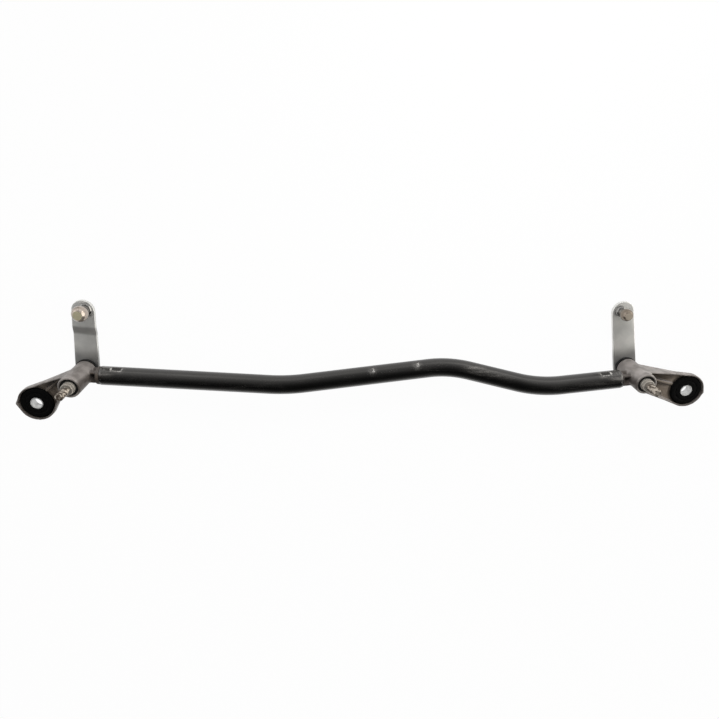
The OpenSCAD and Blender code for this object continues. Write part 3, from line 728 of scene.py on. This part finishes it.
# each ring is the strap's outline, drawn in towards its centre line by a share, at an edge profile's height
def crankRings(c, side):
    lean = np.arccos((c["hub"] - c["end"]) / c["endAt"])
    endTurn = np.linspace(-lean, lean, c["arcPoints"])
    hubTurn = np.linspace(lean, 2 * np.pi - lean, c["arcPoints"])
    share = np.linspace(0, 1, c["edgePoints"] + 2)[1:-1]
    reach = np.concatenate([0 * endTurn + 1, 1 - share, 0 * hubTurn, share]) * c["endAt"]
    radius = c["hub"] + (c["end"] - c["hub"]) * reach / c["endAt"]
    turn = np.concatenate([endTurn, 0 * share + lean, hubTurn, 0 * share - lean])
    spine = np.stack([reach, 0 * reach], axis=-1)
    spread = np.stack([radius * np.cos(turn), radius * np.sin(turn)], axis=-1)
    half = c["thick"] / 2
    edge = roundedProfile([(0, half), (c["hub"], half), (c["hub"], -half), (0, -half)], c["edge"], False, 7)
    inset = edge[:, 0] / c["hub"]
    flat = spine[None] + inset[:, None, None] * spread[None]
    lift = side["rise"] * ease(flat[..., 0], c["joggleAt"], c["joggleAt"] + c["joggleRun"])
    heading = np.radians(side["heading"])
    x = flat[..., 0] * np.cos(heading) - flat[..., 1] * np.sin(heading)
    y = flat[..., 0] * np.sin(heading) + flat[..., 1] * np.cos(heading)
    fromJoggle = flat[..., 0] - c["joggleAt"] - c["joggleRun"] / 2
    onJoggle = softBox(fromJoggle, c["joggleRun"] / 2, c["joggleEdge"]) * (side["rise"] > 0)
    # painted shade: darker near the hub and across the joggle's slope
    dirt = np.maximum(c["hubShade"] * (1 - ease(flat[..., 0], *c["hubReach"])), c["joggleShade"] * onJoggle)
    return np.stack([x, y, c["base"] + half + edge[:, 1][:, None] + lift], axis=-1), dirt


for side in sides:
    rings, dirt = crankRings(crank, crank[side])
    addPiece(side + "Crank", rings, (*pivotAt[side], 0), side + "_shaft", side + "_crank", {"dirt": dirt})
print("cranks done")

# ball stud: shank, collar, neck and the ball's arc up to its flat
stud = {
    "plate": 4.0, "rise": 14.0, "collarHigh": 4.0, "collarEdge": 1.0, "neck": 4.0, "shank": 4.5, "round": 0.7,
    "columns": 96, "ballPoints": 48, "domePoints": 24, "polishEdge": 0.8,
    "left": {"ball": 8.0, "flat": 4.6, "collar": 7.5, "tan": 0.0, "at": (10.092, 67.314, -50.5)},
    "right": {"ball": 6.5, "flat": 4.0, "collar": 6.0, "tan": 1.0, "at": (573.780, 65.582, -52.5)},
}


# the collar's dome is a quarter of an ellipse, the ball an arc from the neck's angle to the flat's
def studProfile(s, side):
    low, high = -np.arccos(s["neck"] / side["ball"]), np.arccos(side["flat"] / side["ball"])
    swing = np.linspace(low, high, s["ballPoints"])
    ball = np.stack([side["ball"] * np.cos(swing), s["rise"] + side["ball"] * np.sin(swing)], axis=-1)
    climb = np.linspace(0, np.pi / 2, s["domePoints"])
    dome = np.stack([
        s["neck"] + (side["collar"] - s["neck"]) * np.cos(climb),
        s["collarEdge"] + (s["collarHigh"] - s["collarEdge"]) * np.sin(climb),
    ], axis=-1)
    foot = [(0, -s["plate"]), (s["shank"], -s["plate"]), (s["shank"], 0), (side["collar"], 0)]
    return roundedProfile(np.vstack([foot, dome, ball, [(0, ball[-1, 1])]]), s["round"])


for side in sides:
    profile = studProfile(stud, stud[side])
    half = stud["collarHigh"] / 2
    polish = softBox(profile[:, 1:] - half, half + stud["polishEdge"], stud["polishEdge"])
    addPiece(side + "BallStud", latheRings(profile, stud["columns"]), stud[side]["at"], side + "_shaft",
             side + "_ball_stud", {"polish": polish, "tan": stud[side]["tan"]})
print("ball studs done")

# white floor that keeps a soft shadow
stage = {"size": 9.0, "glow": 0.97, "shade": (0.60, 0.60, 0.60)}


# whether a ray goes to the eye straight, by a reflection or through glass
def seenRay(wire):
    straight, mirrored, through = (
        wire.node("ShaderNodeLightPath", output=key)
        for key in ("Is Camera Ray", "Is Glossy Ray", "Is Transmission Ray")
    )
    return wire.maths("MAXIMUM", wire.maths("MAXIMUM", straight, mirrored), through)


def floorFinish(s):
    finish, wire = newFinish("whiteFloor")
    tree = finish.node_tree
    tree.nodes.remove(tree.nodes["Principled BSDF"])
    matt = wire.node("ShaderNodeBsdfDiffuse", None, {"Color": rgba(s["shade"])})
    glow = wire.node("ShaderNodeEmission", None, {"Color": rgba((1, 1, 1)), "Strength": 1.0})
    both = wire.node("ShaderNodeMixShader", None, {0: seenRay(wire) * s["glow"], 1: matt, 2: glow})
    wire.feed(tree.nodes["Material Output"], {"Surface": both})
    return finish


# a flat rectangle from its middle and its two half sides
def addCard(name, middle, halfU, halfV, finish):
    middle, halfU, halfV = (np.asarray(value, float) for value in (middle, halfU, halfV))
    corners = [middle + u * halfU + v * halfV for u, v in ((-1, -1), (1, -1), (1, 1), (-1, 1))]
    mesh = bpy.data.meshes.new(name)
    mesh.from_pydata([corner.tolist() for corner in corners], [], [(0, 1, 2, 3)])
    mesh.materials.append(finish)
    card = bpy.data.objects.new(name, mesh)
    bpy.context.scene.collection.objects.link(card)
    return card


half = stage["size"] / 2
addCard("floor", (0, 0, cadBox[0][2]), (half, 0, 0), (0, half, 0), floorFinish(stage))

# the room: bright beyond the far side, dark over the near side and dimmer in the middle,
# with a high window at each end, the right one warm
room = {
    "level": 2.0, "rightward": 0.2, "middle": 0.42, "middleEnd": 0.09,
    "stops": ((0.0, 0.30), (0.07, 0.08), (0.21, 0.010), (0.375, 0.010), (0.545, 0.035), (0.705, 0.135),
              (0.85, 0.30), (0.95, 0.56), (1.0, 1.25)),
    "leftFrom": (-0.48, -0.68), "leftLevel": 1.3, "rightFrom": (0.58, 0.80), "rightLevel": 3.0,
    "windowFoot": (-0.52, -0.30), "tint": (1.0, 0.97, 0.91),
}
world = bpy.data.worlds.new("room")
world.use_nodes = True
bpy.context.scene.world = world
wire = Wire(world.node_tree)
aim = wire.node("ShaderNodeTexCoord", output="Generated")
aimX, aimY = (axisOf(wire, aim, axis) for axis in range(2))
greys = [(place, (grey, grey, grey)) for place, grey in room["stops"]]
fade = wire.node("ShaderNodeValToRGB", {"stops": greys}, {"Fac": aimY * 0.5 + 0.5})
sideward = room["middle"] + (aimX * aimX).step(0, room["middleEnd"]) * (1 - room["middle"])
overFoot = aimY.step(*room["windowFoot"])
leftWindow, rightWindow = (aimX.step(*room[key]) * overFoot for key in ("leftFrom", "rightFrom"))
wire.feed(world.node_tree.nodes["Background"], {
    "Color": mixColour(rightWindow, (1, 1, 1), room["tint"]),
    "Strength": fade * sideward * (1 + aimX * room["rightward"]) * room["level"]
    + leftWindow * room["leftLevel"] + rightWindow * room["rightLevel"],
})

# soft panels: a high and a low one beyond the far side, a small one for the right end, a weak near one
lamps = {
    "farPanel": {"at": (0.30, 1.30, 0.70), "aim": (0.30, 0.0, -0.03), "size": (1.6, 0.4), "watts": 11.8},
    "lowPanel": {"at": (0.45, 1.15, 0.12), "aim": (0.30, 0.0, -0.03), "size": (1.8, 0.3), "watts": 1.5},
    "rightPanel": {"at": (0.40, 0.45, 0.30), "aim": (0.62, 0.0, -0.03), "size": (0.25, 0.2), "watts": 1.6},
    "nearPanel": {"at": (0.50, -0.90, 0.40), "aim": (0.35, 0.0, -0.03), "size": (1.2, 0.4), "watts": 2.0},
}
for name, lamp in lamps.items():
    light = bpy.data.lights.new(name, "AREA")
    light.shape = "RECTANGLE"
    light.size, light.size_y = lamp["size"]
    light.energy = lamp["watts"]
    holder = bpy.data.objects.new(name, light)
    holder.visible_glossy = False
    holder.location = lamp["at"]
    holder.rotation_euler = (Vector(lamp["aim"]) - Vector(lamp["at"])).to_track_quat("-Z", "Y").to_euler()
    bpy.context.scene.collection.objects.link(holder)
print("stage and lamps done")

# camera worked out from the photograph's outline: place, right, up and back directions
view = {
    "at": (0.2621, 0.2452, 0.5135), "right": (0.9988, 0.0155, 0.0472), "up": (0.0038, 0.9235, -0.3835),
    "back": (-0.0495, 0.3832, 0.9223), "focal": 561.5, "frame": 719.0, "sensor": 36.0, "clip": (0.01, 50.0),
}
camera = bpy.data.cameras.new("camera")
camera.sensor_width = view["sensor"]
camera.lens = view["focal"] / view["frame"] * view["sensor"]
camera.clip_start, camera.clip_end = view["clip"]
eye = bpy.data.objects.new("camera", camera)
turned = Matrix((view["right"], view["up"], view["back"])).transposed().to_4x4()
eye.matrix_world = Matrix.Translation(view["at"]) @ turned
bpy.context.scene.collection.objects.link(eye)
bpy.context.scene.camera = eye
bpy.context.scene.view_settings.view_transform = "Standard"
